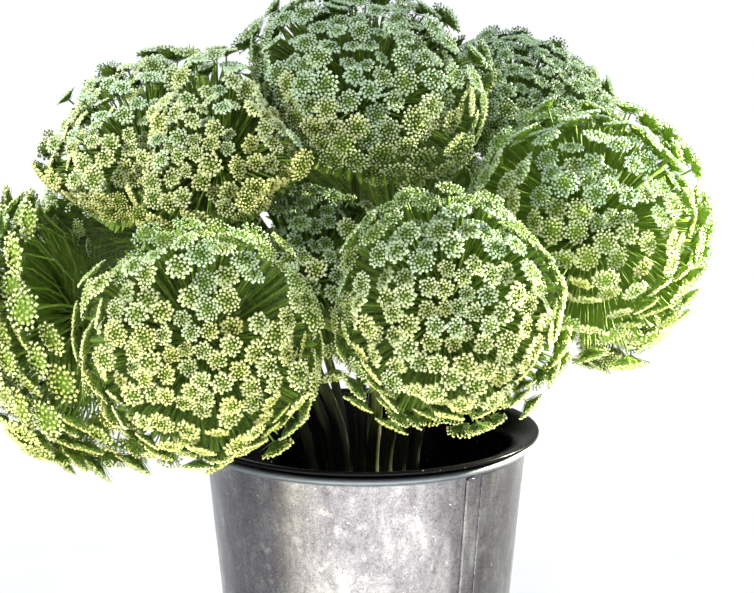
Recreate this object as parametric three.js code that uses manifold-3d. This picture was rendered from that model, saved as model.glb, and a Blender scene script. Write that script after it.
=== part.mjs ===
// Bishop's flower (Ammi visnaga), a dozen cut stems standing in a galvanised flower bucket.
// Millimetres, +Z up. The origin is the centre of the bucket's foot, on the surface that it stands on.
// The front, where the heads lean out over the rim, faces -Y.

import * as THREE from "three";
import { mergeVertices } from "three/addons/utils/BufferGeometryUtils.js";
import Module from "manifold-3d";

const wasm = await Module();
wasm.setup();

// Bucket: pressed steel, slightly conical, with a flat floor and a rolled bead at the top.
const GAP = 0.3; // clearance between pieces that touch
const STEEL = 1.2; // wall of the steel bucket
const FOOT_RADIUS = 79;
const WALL_TAPER = 0.092; // growth of the radius for each millimetre of height
const WALL_TOP = 222;
const FOOT_EDGE = 1; // bevel round the floor
const BEAD_REACH = 4.2; // how far the bead stands out past the wall
const BEAD_HEIGHT = 6.5;
const BEAD_ROUND = 1.5; // bevel of its corners
const SEAM_ANGLE = THREE.MathUtils.degToRad(-52); // side seam, front right
const SEAM_WIDTH = 6;
const SEAM_RAISE = 1.3;
const SEAM_SINK = 0.8; // depth of the seam strip in the wall
const SEAM_ROUND = 1;
const ROUND_SIDES = 36;

// Liner: a black plastic pot hung in the bucket by a flared lip.
const PLASTIC = 1.8;
const LINER_FOOT_RADIUS = 66;
const LINER_THROAT_RADIUS = 90; // outside of the liner where its lip starts
const THROAT_HEIGHT = 223;
const LIP_RADIUS = 107.5;
const LIP_HEIGHT = 232;
const LIP_TURN = 2.2; // depth of the turned edge of the lip
const LIP_ROUND = 1.2;

const WATER_LEVEL = 76;

// Stems and heads.
const STEM_RIBS = 4;
const RIB_DEPTH = 0.16; // share of the radius
const STEM_STEPS = 8;
const STEM_JOINT = 4; // the step where a stem has its swollen joint
const WET_STEPS = 2; // the steps that reach past the water
const NODE_SWELL = 1.22; // how much thicker the stem is there
const STEM_THINNING = 0.18; // share of its thickness that a stem loses on the way up
const FOOT_CLEARANCE = 0.5; // a cut end over the liner's floor
const HOLE_CLEARANCE = 0.5; // round a stem, in the water and where it passes another head's core
const HOLE_SIDES = 5;
const HOLE_OVERRUN = 1; // a hole in the water starts this far under it
const HUB_RUN = 22; // straight last stretch of a stem, behind its hub
const HUB_BACK = 6; // the hub reaches this far behind the point that the rays spread from
const FLATTEN = 0.72; // depth of a head's dome against its radius
const SPREAD = 106; // in degrees: the outermost rays lean back past the side
const GOLDEN_ANGLE = Math.PI * (3 - Math.sqrt(5));
const RAYS_PER_HEAD = 36;
const INNER_DISC = 0.176; // radius of an umbellet against its head's, at the middle of the head
const DISC_GROWTH = 0.058; // what it gains towards the edge
const CROWDING = 1.1; // above 1, umbellets lie closer towards the middle of a head
const FACE_LEAN = 0.85; // how far an umbellet faces outwards, as a share of its angle off the axis
const RIM_LEAN = 95; // in degrees: how far those near the rim face outwards
const UPPER_LEAN = THREE.MathUtils.degToRad(70); // and those of them that rise from the hub
const RIM_START = THREE.MathUtils.degToRad(30); // where they begin to turn out
const RIM_FULL = THREE.MathUtils.degToRad(68); // and from where all have done so
const LENGTH_VARIATION = 0.04; // of the rays, each way
const SHORTEST_RAY = 0.46; // a ray drawn back further than this share of its length is left out
const DRAW_BACK = 0.04; // share by which a crowded ray is drawn back at a time
const UMBELLET_POINTS = 6;
const CROWN_RISE = 0.2; // height of an umbellet's crust, as a share of its radius
const TOOTH = 0.2; // depth of the notches in its rim
const TOOTH_RISE = 0.1;
const ROOT_DEPTH = 0.3; // share of a ray at which its umbellet's cone begins
// The core's sections, as shares of the head's radius: how far ahead of the hub, and how wide.
const CORE_SIDES = 8;
const CORE_INSET = 0.5; // extra clearance to the plane between two heads
const CORE_RINGS = [
  [-0.13, 0.3],
  [-0.04, 0.42],
  [0.24, 0.38],
  [0.36, 0.16],
];
const BALL_AHEAD = 0.25; // centre of the ball that a head fills, ahead of its hub, in head radii
const NEIGHBOUR_GAP = 0.8; // between one head and the next
const STEM_CLEARANCE = 1.2; // between an umbellet and the stems
const CONE_LEVELS = [0.1, 0.25, 0.4, 0.55, 0.7, 0.85, 1, 1.15]; // where that is tested, root to crust
const OWN_STEM_REACH = 24; // a head is joined to its own stem within this distance of its hub
const LIP_CLEARANCE = 2;

const COLOURS = {
  steel: { color: 0xa9abad, roughness: 0.38, metalness: 0.9 },
  plastic: { color: 0x0b0b0c, roughness: 0.35, metalness: 0 },
  water: { color: 0x9fb2a6, roughness: 0.05, metalness: 0 },
  stem: { color: 0x5f8a24, roughness: 0.55, metalness: 0 },
  bloom: { color: 0xcfd8a6, roughness: 0.8, metalness: 0 },
};

// One row for each stem. hub is the point that the head's rays spread from, facing the way the head
// looks. spread is how far it opens, rim how far its outer umbellets face outwards, both in degrees,
// and early how soon they turn out, as a share of the usual angle. neck is where the stem passes the
// bucket's mouth, foot where it stands in the liner.
const MOUTH_HEIGHT = 232;
const STEMS = [
  { name: "upper_left", hub: [-136, 16, 396], facing: [-0.6, -0.5, 0.62], radius: 70,
    foot: [-44, 8], neck: [-26, 6], via: [[-84, 16, 318]], thick: 3.2 },
  { name: "middle_left", hub: [-86, -22, 398], facing: [-0.15, -0.8, 0.58], radius: 68,
    foot: [-26, 0], neck: [-14, -1], via: [[-42, 4, 320]], thick: 3.2 },
  { name: "front_left", hub: [-90, -100, 307], facing: [-0.08, -0.99, 0], radius: 72,
    foot: [4, -46], neck: [5, -47], via: [[7, -66, 262], [4, -78, 290], [-13, -82, 309], [-52, -66, 314]],
    thick: 3.7 },
  { name: "far_left", hub: [-179, -4, 303], facing: [-0.9, 0.02, -0.3], radius: 91, spread: 94, rim: 40,
    foot: [-54, -16], neck: [-38, -8], via: [[-96, -2, 286]], thick: 3.4 },
  { name: "top", hub: [-3, 20, 428], facing: [0.15, -0.62, 0.77], radius: 83,
    foot: [-6, 20], neck: [-3, 13], via: [[-4, 26, 330]], thick: 3.7 },
  { name: "back_right", hub: [97, 95, 414], facing: [0.15, -0.5, 0.85], radius: 68,
    foot: [24, 36], neck: [17, 22], via: [[66, 66, 318]], thick: 3.4 },
  { name: "right", hub: [131, -5, 355], facing: [0.25, -0.85, 0.45], radius: 82, early: 0.72,
    foot: [40, 2], neck: [26, 2], via: [[80, 10, 306]], thick: 3.7 },
  { name: "far_right", hub: [155, 66, 325], facing: [0.7, -0.35, -0.1], radius: 66,
    foot: [48, 22], neck: [35, 15], via: [[84, 48, 290]], thick: 3.4 },
  { name: "front_right", hub: [47, -90, 323], facing: [0.1, -0.98, 0.1], radius: 70,
    foot: [22, -38], neck: [15, -27], via: [[40, -56, 286]], thick: 3.7 },
  { name: "middle", hub: [-36, -8, 326], facing: [0.05, -0.75, 0.65], radius: 72,
    foot: [-18, -38], neck: [-13, -32], via: [[-30, -20, 276]], thick: 3 },
  { name: "back_left", hub: [-142, 92, 338], facing: [-0.45, 0.72, 0.52], radius: 82,
    foot: [-26, 38], neck: [-18, 26], via: [[-72, 52, 285]], thick: 3.4 },
  { name: "back", hub: [20, 120, 326], facing: [0.1, 0.95, 0.15], radius: 90,
    foot: [4, 50], neck: [3, 34], via: [[12, 68, 278]], thick: 3.4 },
];

// A repeatable draw between 0 and 1.
function draw(index, salt) {
  const value = Math.sin(index * 12.9898 + salt * 78.233) * 43758.5453;
  return value - Math.floor(value);
}

// A closed three.js geometry as a manifold solid, and back.
function solidOf(geometry) {
  const bare = new THREE.BufferGeometry();
  bare.setAttribute("position", geometry.getAttribute("position"));
  bare.setIndex(geometry.getIndex());
  const merged = mergeVertices(bare, 1e-4);
  return new wasm.Manifold(
    new wasm.Mesh({
      numProp: 3,
      vertProperties: new Float32Array(merged.attributes.position.array),
      triVerts: new Uint32Array(merged.index.array),
    }),
  );
}

function geometryOf(solid) {
  const mesh = solid.getMesh();
  const geometry = new THREE.BufferGeometry();
  geometry.setAttribute("position", new THREE.BufferAttribute(new Float32Array(mesh.vertProperties), 3));
  geometry.setIndex(new THREE.BufferAttribute(new Uint32Array(mesh.triVerts), 1));
  geometry.computeVertexNormals();
  return geometry;
}

function meshOf(name, geometry, look) {
  const mesh = new THREE.Mesh(geometry, new THREE.MeshStandardMaterial(COLOURS[look]));
  mesh.name = name;
  return mesh;
}

// A solid of revolution about Z from its [radius, height] profile, bottom first.
function turned(profile) {
  const points = profile.map(([radius, height]) => new THREE.Vector2(radius, height));
  return new THREE.LatheGeometry(points, ROUND_SIDES).rotateX(Math.PI / 2);
}

function closedMesh(points, faces) {
  const positions = points.flatMap((point) => point.toArray());
  const geometry = new THREE.BufferGeometry();
  geometry.setAttribute("position", new THREE.Float32BufferAttribute(positions, 3));
  geometry.setIndex(faces);
  return geometry;
}

// Joins rings of points, each ring with the same count, into one closed body with flat ends.
function loft(rings) {
  const count = rings[0].length;
  const faces = [];
  for (let ring = 0; ring + 1 < rings.length; ring++) {
    for (let side = 0; side < count; side++) {
      const here = ring * count + side;
      const next = ring * count + ((side + 1) % count);
      faces.push(here, next, next + count, here, next + count, here + count);
    }
  }
  const last = (rings.length - 1) * count;
  for (let side = 1; side + 1 < count; side++) {
    faces.push(0, side + 1, side, last, last + side, last + side + 1);
  }
  return closedMesh(rings.flat(), faces);
}

// Two directions at right angles to a given one, so that (first, second, direction) is right-handed.
function across(direction) {
  const helper = Math.abs(direction.z) < 0.9 ? new THREE.Vector3(0, 0, 1) : new THREE.Vector3(1, 0, 0);
  const first = new THREE.Vector3().crossVectors(helper, direction).normalize();
  return [first, new THREE.Vector3().crossVectors(direction, first)];
}

// A ring of points about a centre. shape gives the radius at each side.
function ringAt(centre, first, second, sides, shape) {
  return Array.from({ length: sides }, (_, side) => {
    const angle = (side / sides) * 2 * Math.PI;
    return centre
      .clone()
      .addScaledVector(first, Math.cos(angle) * shape(side))
      .addScaledVector(second, Math.sin(angle) * shape(side));
  });
}

const wallRadius = (height) => FOOT_RADIUS + WALL_TAPER * height;

function bucket() {
  const top = wallRadius(WALL_TOP);
  const profile = [
    [0, 0],
    [FOOT_RADIUS - FOOT_EDGE, 0],
    [wallRadius(FOOT_EDGE), FOOT_EDGE],
    [top, WALL_TOP],
    [top + BEAD_REACH, WALL_TOP + BEAD_ROUND],
    [top + BEAD_REACH, WALL_TOP + BEAD_HEIGHT - BEAD_ROUND],
    [top + BEAD_REACH - BEAD_ROUND, WALL_TOP + BEAD_HEIGHT],
    [top - STEEL / 3, WALL_TOP + 0.4 * BEAD_HEIGHT],
    [top - STEEL, WALL_TOP],
    [wallRadius(STEEL) - STEEL, STEEL],
    [0, STEEL],
  ];
  // The side seam is a folded strip that lies along the wall.
  const outward = new THREE.Vector3(Math.cos(SEAM_ANGLE), Math.sin(SEAM_ANGLE), 0);
  const sideways = new THREE.Vector3(-outward.y, outward.x, 0);
  const strip = [FOOT_EDGE + SEAM_ROUND, WALL_TOP - SEAM_ROUND].map((height) => {
    const inner = outward.clone().multiplyScalar(wallRadius(height) - SEAM_SINK).setZ(height);
    const outer = outward.clone().multiplyScalar(wallRadius(height) + SEAM_RAISE).setZ(height);
    return [
      inner.clone().addScaledVector(sideways, -SEAM_WIDTH / 2),
      outer.clone().addScaledVector(sideways, -SEAM_WIDTH / 2 + SEAM_ROUND),
      outer.clone().addScaledVector(sideways, SEAM_WIDTH / 2 - SEAM_ROUND),
      inner.clone().addScaledVector(sideways, SEAM_WIDTH / 2),
    ];
  });
  return meshOf("bucket", geometryOf(solidOf(turned(profile)).add(solidOf(loft(strip)))), "steel");
}

const linerFloor = STEEL + GAP;
const linerOutside = (height) =>
  LINER_FOOT_RADIUS +
  ((LINER_THROAT_RADIUS - LINER_FOOT_RADIUS) * (height - linerFloor)) / (THROAT_HEIGHT - linerFloor);

function liner() {
  const profile = [
    [0, linerFloor],
    [LINER_FOOT_RADIUS, linerFloor],
    [LINER_THROAT_RADIUS, THROAT_HEIGHT],
    [wallRadius(WALL_TOP) + BEAD_REACH - BEAD_ROUND, WALL_TOP + BEAD_HEIGHT + GAP],
    [LIP_RADIUS - PLASTIC, LIP_HEIGHT - LIP_TURN],
    [LIP_RADIUS, LIP_HEIGHT - LIP_TURN],
    [LIP_RADIUS, LIP_HEIGHT - LIP_ROUND],
    [LIP_RADIUS - LIP_ROUND, LIP_HEIGHT],
    [LINER_THROAT_RADIUS - PLASTIC / 3, THROAT_HEIGHT + PLASTIC],
    [LINER_FOOT_RADIUS - PLASTIC, linerFloor + PLASTIC],
    [0, linerFloor + PLASTIC],
  ];
  return meshOf("liner", turned(profile), "plastic");
}

// The curve that a stem follows from its cut end to the back of its hub.
function stemCurve(stem) {
  const facing = new THREE.Vector3(...stem.facing).normalize();
  const hub = new THREE.Vector3(...stem.hub);
  const footHeight = linerFloor + PLASTIC + FOOT_CLEARANCE;
  const points = [
    new THREE.Vector3(stem.foot[0], stem.foot[1], footHeight),
    new THREE.Vector3(stem.neck[0], stem.neck[1], MOUTH_HEIGHT),
    ...stem.via.map((point) => new THREE.Vector3(...point)),
    hub.clone().addScaledVector(facing, -HUB_BACK - HUB_RUN),
    hub.clone().addScaledVector(facing, -HUB_BACK - GAP),
  ];
  return new THREE.CatmullRomCurve3(points, false, "centripetal");
}

// Sections along a stem, square to it at both ends. shape gives each side's radius from the stem's own.
function stemSections(stem, sides, shape) {
  const curve = stemCurve(stem);
  const facing = new THREE.Vector3(...stem.facing).normalize();
  const rings = [];
  let [first] = across(curve.getTangentAt(0));
  for (let step = 0; step <= STEM_STEPS; step++) {
    const along = step / STEM_STEPS;
    let tangent = curve.getTangentAt(along);
    if (step === 0) tangent = new THREE.Vector3(0, 0, 1);
    if (step === STEM_STEPS) tangent = facing;
    first = first.clone().addScaledVector(tangent, -first.dot(tangent)).normalize();
    const second = new THREE.Vector3().crossVectors(tangent, first);
    const swell = step === STEM_JOINT ? NODE_SWELL : 1;
    const radius = stem.thick * (1 - STEM_THINNING * along) * swell;
    rings.push(ringAt(curve.getPointAt(along), first, second, sides, (side) => shape(radius, side)));
  }
  return rings;
}

function stemMesh(stem) {
  const ribbed = (radius, side) => radius * (side % 2 ? 1 - RIB_DEPTH : 1);
  return meshOf("stem_" + stem.name, loft(stemSections(stem, STEM_RIBS * 2, ribbed)), "stem");
}

// The sections of a plain hole that clears the stem all round.
function holeSections(stem) {
  const inscribed = Math.cos(Math.PI / HOLE_SIDES);
  return stemSections(stem, HOLE_SIDES, (radius) => (radius + HOLE_CLEARANCE) / inscribed);
}

// Water to the stems' depth, with a plain hole where each stem stands.
function water() {
  const bottom = linerFloor + PLASTIC + GAP;
  const inside = (height) => linerOutside(height) - PLASTIC - 2 * GAP;
  let solid = solidOf(
    turned([
      [0, bottom],
      [inside(bottom), bottom],
      [inside(WATER_LEVEL), WATER_LEVEL],
      [0, WATER_LEVEL],
    ]),
  );
  for (const stem of STEMS) {
    const rings = holeSections(stem).slice(0, WET_STEPS + 1);
    rings[0].forEach((point) => point.setZ(bottom - HOLE_OVERRUN));
    solid = solid.subtract(solidOf(loft(rings)));
  }
  return meshOf("water", geometryOf(solid), "water");
}

// The dome of a head fills a ball about a point a little ahead of its hub. Between two heads lies the
// plane where their balls meet, and each keeps to its own side.
const heads = STEMS.map((stem, index) => {
  const facing = new THREE.Vector3(...stem.facing).normalize();
  const hub = new THREE.Vector3(...stem.hub);
  const [first, second] = across(facing);
  const ball = hub.clone().addScaledVector(facing, BALL_AHEAD * stem.radius);
  const spread = THREE.MathUtils.degToRad(stem.spread ?? SPREAD);
  const rim = THREE.MathUtils.degToRad(stem.rim ?? RIM_LEAN);
  return { ...stem, index, facing, hub, first, second, ball, spread, rim, early: stem.early ?? 1 };
});

function planeBetween(head, other) {
  const normal = other.ball.clone().sub(head.ball);
  const distance = normal.length();
  normal.divideScalar(distance);
  const reach = (distance ** 2 + head.radius ** 2 - other.radius ** 2) / (2 * distance);
  return { normal, limit: normal.dot(head.ball) + reach - NEIGHBOUR_GAP / 2 };
}

const planesRound = (head) =>
  heads.filter((other) => other !== head).map((other) => planeBetween(head, other));

const STEM_SAMPLES = 90;
const stemPoints = STEMS.map((stem) =>
  stemCurve(stem)
    .getSpacedPoints(STEM_SAMPLES)
    .map((point) => ({ point, radius: stem.thick * NODE_SWELL })),
);

// An umbellet from its angle off the head's axis, turn about it, radius, and share of the full ray.
function placeUmbellet(head, angle, turn, disc, share) {
  const sideways = head.first
    .clone()
    .multiplyScalar(Math.cos(turn))
    .addScaledVector(head.second, Math.sin(turn));
  const reach = sideways
    .clone()
    .multiplyScalar(Math.sin(angle))
    .addScaledVector(head.facing, FLATTEN * Math.cos(angle))
    .multiplyScalar(head.radius * share);
  const turnedOut = THREE.MathUtils.smoothstep(angle / head.early, RIM_START, RIM_FULL);
  const rising = Math.max(sideways.z, 0);
  const full = THREE.MathUtils.lerp(head.rim, Math.min(head.rim, UPPER_LEAN), rising);
  const lean = THREE.MathUtils.lerp(FACE_LEAN * angle, full, turnedOut);
  const out = sideways.multiplyScalar(Math.sin(lean)).addScaledVector(head.facing, Math.cos(lean));
  return {
    disc,
    out,
    crown: head.hub.clone().add(reach),
    root: head.hub.clone().addScaledVector(reach, ROOT_DEPTH),
  };
}

function clearOfNeighbours(umbellet, planes) {
  return planes.every(({ normal, limit }) => {
    const tilt = normal.dot(umbellet.out);
    const spread = umbellet.disc * Math.sqrt(Math.max(0, 1 - tilt * tilt));
    const thickness = Math.max(CROWN_RISE * tilt, -TOOTH_RISE * tilt) * umbellet.disc;
    return normal.dot(umbellet.crown) + spread + thickness < limit;
  });
}

// A stem keeps its distance from the cone at every level, except at the head that it carries.
function clearOfStems(umbellet, head) {
  const levels = CONE_LEVELS.map((level) => ({
    centre: umbellet.root.clone().lerp(umbellet.crown, level),
    wide: Math.min(level, 1) * umbellet.disc,
  }));
  return stemPoints.every((points, owner) =>
    points.every(({ point, radius }) => {
      if (owner === head.index && point.distanceTo(head.hub) < OWN_STEM_REACH) return true;
      const clearance = radius + STEM_CLEARANCE;
      return levels.every(({ centre, wide }) => centre.distanceTo(point) > clearance + wide);
    }),
  );
}

function clearOfBucket({ crown, out, disc }) {
  const drop = disc * Math.sqrt(Math.max(0, 1 - out.z * out.z)) + CROWN_RISE * disc * Math.abs(out.z);
  const outside = Math.hypot(crown.x, crown.y) - disc > LIP_RADIUS + LIP_CLEARANCE;
  return outside || crown.z - drop > LIP_HEIGHT + LIP_CLEARANCE;
}

// Umbellets lie on the dome in a golden-angle spiral. One that meets a neighbour draws back on a
// shorter ray, and one that would have to draw back too far is left out.
function umbelletsOf(head) {
  const planes = planesRound(head);
  const placed = [];
  for (let k = 0; k < RAYS_PER_HEAD; k++) {
    const outward = (k + 0.5) / RAYS_PER_HEAD;
    const angle = Math.acos(1 - outward ** CROWDING * (1 - Math.cos(head.spread)));
    const turn = k * GOLDEN_ANGLE + head.index;
    const disc = head.radius * (INNER_DISC + DISC_GROWTH * outward);
    const length = 1 + LENGTH_VARIATION * (2 * draw(k, head.index) - 1);
    for (let share = length; share > SHORTEST_RAY; share -= DRAW_BACK) {
      const umbellet = placeUmbellet(head, angle, turn, disc * share, share);
      if (!clearOfNeighbours(umbellet, planes)) continue;
      if (clearOfStems(umbellet, head) && clearOfBucket(umbellet)) placed.push(umbellet);
      break;
    }
  }
  return placed;
}

// A cone of fine stalks, rooted in the core, that opens to a toothed rim under a domed crust of florets.
function umbelletBody(umbellet) {
  const { disc, out, crown, root } = umbellet;
  const [first, second] = across(out);
  const point = (angle, radius, rise) =>
    crown
      .clone()
      .addScaledVector(first, Math.cos(angle) * radius)
      .addScaledVector(second, Math.sin(angle) * radius)
      .addScaledVector(out, rise);
  const points = [root, point(0, 0, CROWN_RISE * disc)];
  const faces = [];
  for (let side = 0; side < UMBELLET_POINTS; side++) {
    const notch = side % 2;
    const angle = (side / UMBELLET_POINTS) * 2 * Math.PI;
    points.push(point(angle, disc * (notch ? 1 - TOOTH : 1), disc * (notch ? TOOTH_RISE : -TOOTH_RISE)));
    const here = side + 2;
    const next = ((side + 1) % UMBELLET_POINTS) + 2;
    faces.push(here, next, 1, next, here, 0);
  }
  return closedMesh(points, faces);
}

// The close-packed rays as one body, from the stem's end out to where the umbellets stand free.
// Where another head presses in, it is flattened to its own side, and another's stem leaves a groove.
function coreBody(head) {
  const planes = planesRound(head);
  const within = (point) => {
    const offset = point.clone().sub(head.hub);
    let share = 1;
    for (const { normal, limit } of planes) {
      const towards = normal.dot(offset);
      if (towards > 0) share = Math.min(share, (limit - normal.dot(head.hub) - CORE_INSET) / towards);
    }
    return head.hub.clone().addScaledVector(offset, share);
  };
  const rings = CORE_RINGS.map(([along, wide]) => {
    const centre = head.hub.clone().addScaledVector(head.facing, along * head.radius);
    return ringAt(centre, head.first, head.second, CORE_SIDES, () => wide * head.radius).map(within);
  });
  const back = head.hub.clone().addScaledVector(head.facing, -HUB_BACK);
  const end = ringAt(back, head.first, head.second, CORE_SIDES, () => head.thick * (1 - STEM_THINNING));
  let solid = solidOf(loft([end, ...rings]));
  for (const stem of STEMS) {
    if (stem.name !== head.name) solid = solid.subtract(solidOf(loft(holeSections(stem))));
  }
  return solid;
}

// The union's largest shell is the head. Any other is a hollow that the fusing sealed, so it is filled.
function umbelMesh(head) {
  const umbellets = umbelletsOf(head).map((umbellet) => solidOf(umbelletBody(umbellet)));
  const shells = wasm.Manifold.union([coreBody(head), ...umbellets]).decompose();
  shells.sort((a, b) => b.volume() - a.volume());
  return meshOf("umbel_" + head.name, geometryOf(shells[0]), "bloom");
}

const bouquet = new THREE.Group();
bouquet.add(bucket(), liner(), water(), ...STEMS.map(stemMesh), ...heads.map(umbelMesh));

export default bouquet;
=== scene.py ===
import math

import bmesh
import bpy
import numpy as np
from mathutils import Matrix, Vector


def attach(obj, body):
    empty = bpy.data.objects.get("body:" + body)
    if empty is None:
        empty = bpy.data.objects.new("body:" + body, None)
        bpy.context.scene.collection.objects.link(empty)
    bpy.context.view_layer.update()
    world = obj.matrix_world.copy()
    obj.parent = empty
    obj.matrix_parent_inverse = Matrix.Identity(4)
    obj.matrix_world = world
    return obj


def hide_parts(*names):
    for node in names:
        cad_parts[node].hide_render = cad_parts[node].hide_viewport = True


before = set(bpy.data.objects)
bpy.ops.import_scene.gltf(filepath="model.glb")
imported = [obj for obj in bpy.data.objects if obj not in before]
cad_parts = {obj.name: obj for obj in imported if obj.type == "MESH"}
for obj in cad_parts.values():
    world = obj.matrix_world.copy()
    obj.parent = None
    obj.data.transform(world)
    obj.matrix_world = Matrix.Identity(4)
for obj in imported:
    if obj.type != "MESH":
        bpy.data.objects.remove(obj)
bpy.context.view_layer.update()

# A bunch of bishop's flower in a galvanised florist's bucket. Metres, +Z up, and the front faces -Y.

BODY = "root"
MM = 0.001
UP = Vector((0, 0, 1))

# Bucket and liner, as the part has them.
GAP = 0.3 * MM  # between the liner and the bucket
STEEL = 1.2 * MM
FOOT_RADIUS = 79 * MM
FOOT_FLAT = 3 * MM  # inside this ring the underside is one face
FOOT_ROUND = 1 * MM
FLOOR_MIDDLE = 20 * MM  # inside this radius a floor is one face
WALL_TAPER = 0.092
WALL_TOP = 222 * MM
WALL_LEVELS = (3, 60, 120, 180, 215)  # heights in mm where the wall has a ring of points
BEAD_REACH = 4.2 * MM
BEAD_HEIGHT = 6.5 * MM
BEAD_ROUND = 1.5 * MM
BEAD_START = 0.6 * MM  # below the wall's top
BEAD_FOLD = 0.4  # of its height, where it folds back into the wall
ROLL_OUT = 0.95  # from the wall to the middle of the bead's roll, in halves of the bead's reach
ROLL_DROP = 0.4 * MM
ROLL_RADIUS = 1.05  # in halves of the bead's reach
ROLL_TURN = 100  # degrees below and above level
ROLL_STEPS = 10
SEAM_SUNK = 1.1 * MM
SEAM_FOOT = 2 * MM
SEAM_HEAD = 1 * MM  # below the wall's top
SEAM_ANGLE = math.radians(-52)
SEAM_WIDTH = 6 * MM
SEAM_RAISE = 1.3 * MM
SEAM_ROUND = 1.2 * MM
SEAM_EDGE_ANGLE = math.radians(-46)
SEAM_EDGE_WIDTH = 2 * MM
SEAM_EDGE_RAISE = 0.5 * MM
SEAM_EDGE_ROUND = 0.4 * MM
PLASTIC = 1.8 * MM
LINER_FLOOR = STEEL + GAP
LINER_FOOT_RADIUS = 66 * MM
THROAT_RADIUS = 90 * MM
THROAT_HEIGHT = 223 * MM
THROAT_ROUND = 1.2 * MM  # above its height and THROAT_FALL below, the throat's inside turns into the wall
THROAT_FALL = 4 * MM
LIP_RADIUS = 107.5 * MM
LIP_HEIGHT = 232 * MM
LIP_TURN = 2.2 * MM  # depth of the lip's turned edge
LIP_CHAMFER = 0.3 * MM
LIP_ROUND = 1.2 * MM
LIP_STEPS = 5
LIP_INSIDE = ((10, 1.6), (3, 4.6))  # mm out from the throat and below the lip, where its top falls inwards
ROUND_SIDES = 144

# Stems and heads, as the part has them.
MOUTH_HEIGHT = 232 * MM
FOOT_CLEARANCE = 0.5 * MM
STEM_THINNING = 0.18
NODE_SWELL = 1.22
CURVE_STEPS = 24  # between two points of a stem's way
HUB_BACK = 6 * MM
HUB_RUN = 22 * MM
FLATTEN = 0.72  # a dome's height, as a share of its radius
GOLDEN_ANGLE = math.pi * (3 - math.sqrt(5))
RAY_BEND = 0.45
RAY_START = 4 * MM
FACE_LEAN = 0.85  # how far an umbellet faces outwards, as a share of its angle off the axis
UPPER_LEAN = math.radians(70)  # how far those near the rim that are above the hub face outwards
RIM_START = math.radians(30)  # from here to RIM_FULL they come to face outwards as the rim does
RIM_FULL = math.radians(68)
RIM_PATTERN = math.radians(58)  # from here on an umbellet is of the rim's kind
BALL_AHEAD = 0.25
NEIGHBOUR_GAP = 0.8 * MM
STEM_CLEARANCE = 1.2 * MM
OWN_STEM_REACH = 24 * MM
LIP_CLEARANCE = 2 * MM
CROWN_ABOVE = 0.12  # how far an umbellet reaches past its middle, in its radii
CROWN_BELOW = 0.2

# The umbellets are more and smaller here than in the part, at their real number and size.
INNER_DISC = 0.08  # an umbellet's radius at the top of the dome, in shares of the head's radius
DISC_GROWTH = 0.078
DISC_VARIATION = 0.12
LENGTH_VARIATION = 0.11
FIRST_PATCH = 0.3
COVERAGE = 0.9  # of the dome by the umbellets' discs
RIM_COVERAGE = 1.0  # and more of it near the rim, where they stand like shingles
RIM_ANGLE = 1.02
RIM_WIDTH = 0.3
TOP_COVERAGE = 0.3  # and at the top
TOP_WIDTH = 0.35
BACK_COVERAGE = 0.85  # and less past the side
SHORTEST_RAY = 0.46
DRAW_BACK = 0.04
THIN_START = 0.4  # umbellets that face upwards more than this may be left out
UMBELLET_TILT = math.radians(18)
CROWN_SHARE = 0.9  # of its own patch that an umbellet covers
TONE_RANGE = (-0.25, 0.25)
PAINTED_SKY_PALING = 0.6  # painted light: how much more green-white an umbellet is that faces up, as under a cool sky
PAINTED_WARM_CREAM = 0.3  # painted light: and how much more cream one that faces down, as in warm light
MASS_HEIGHT = 0.3  # of the close mass of inner rays, in shares of the head's radius
MASS_RIBS = 64
MASS_FLUTE = 0.86
MASS_BAND = 6 * MM  # how far it keeps from the middle of a passing stem

# Four kinds of umbellet: radius in mm, number of florets and of thread-like bracts, and how much more open
# the florets at its edge are than the inmost. The last kind is for the rim of a head.
UMBELLETS = [
    dict(kind="small", radius=6.5, florets=29, bracts=3, opening=0.75),
    dict(kind="middle", radius=9.5, florets=44, bracts=3, opening=0.75),
    dict(kind="large", radius=12, florets=58, bracts=3, opening=0.75),
    dict(kind="rim", radius=12, florets=47, bracts=6, opening=0.52),
]
FLORET_CROWDING = 0.47  # below a half, florets stand closer at the edge
UMBELLET_DEPTH = 0.62  # from its node to the middle of its crust, in umbellet radii
UMBELLET_SAG = 0.12  # how much lower its edge is
CRUST_UNEVENNESS = (-0.03, 0.03)
INNERMOST_STALK = 0.78  # further in, the bed of buds hides the florets' stalks
FLORET_RADIUS = 1.3 * MM
FLORET_RISE = 1.1 * MM
FLORET_FOOT = 0.25  # how far its foot is drawn down, in rises
FLORET_TILT = (-0.3, 0.3)
FLORET_SIZES = (0.78, 1.18)
INMOST_SIZE = 0.7
SIZE_GROWTH = 0.34
INMOST_OPENNESS = 0.25

# The bed of buds inside an umbellet, a fluted bowl under a low dome. Lengths are in umbellet radii.
BED_WIDTH = 0.7
BED_RIBS = 11
BED_FLUTE = 0.78
BED_DIP = 0.09  # how much lower the flutes run
BED_SUNK = 0.08  # how far its rim is below the crust's edge
BED_DOME = 0.13
BED_POINT = 0.08
NEARNESS = 0.01  # points this close are one

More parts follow.
